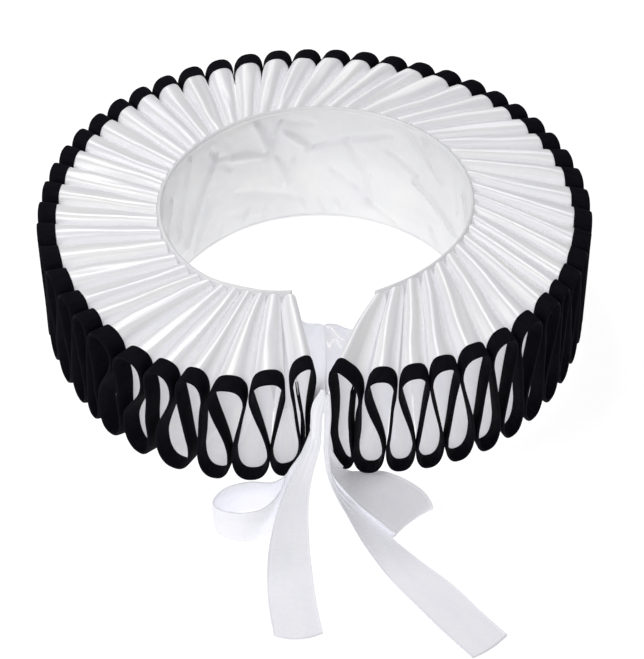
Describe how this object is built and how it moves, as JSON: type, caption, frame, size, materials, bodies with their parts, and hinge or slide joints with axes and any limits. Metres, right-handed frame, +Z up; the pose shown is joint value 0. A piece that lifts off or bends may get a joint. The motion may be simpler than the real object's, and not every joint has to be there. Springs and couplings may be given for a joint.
{
  "type": "ruff collar",
  "caption": "Stiff satin ruff collar with figure-of-eight pleats and a dark bound edge, on a plain neck band tied in front with ribbons.",
  "frame": {"origin": "on the surface the collar stands on, under the middle of its whole footprint with the ribbon tails", "axes": "+Z up through the neck, the front opening and the bow towards -Y, the wearer's right-hand side towards -X"},
  "size_m": [0.2375, 0.3191, 0.067],
  "materials": {
    "satin": "stiffened pearl-white satin",
    "binding": "matt black folded binding",
    "lining": "thin crinkled white lining cloth",
    "ribbon": "lilac-white grosgrain ribbon"
  },
  "bodies": {
    "root": {"neck_band": "lining", "ruff": "satin", "edge_binding": "binding", "tie_left": "ribbon", "tie_right": "ribbon", "bow_knot": "ribbon", "bow_left": "ribbon", "bow_right": "ribbon", "tail_left": "ribbon", "tail_right": "ribbon"}
  },
  "joints": []
}
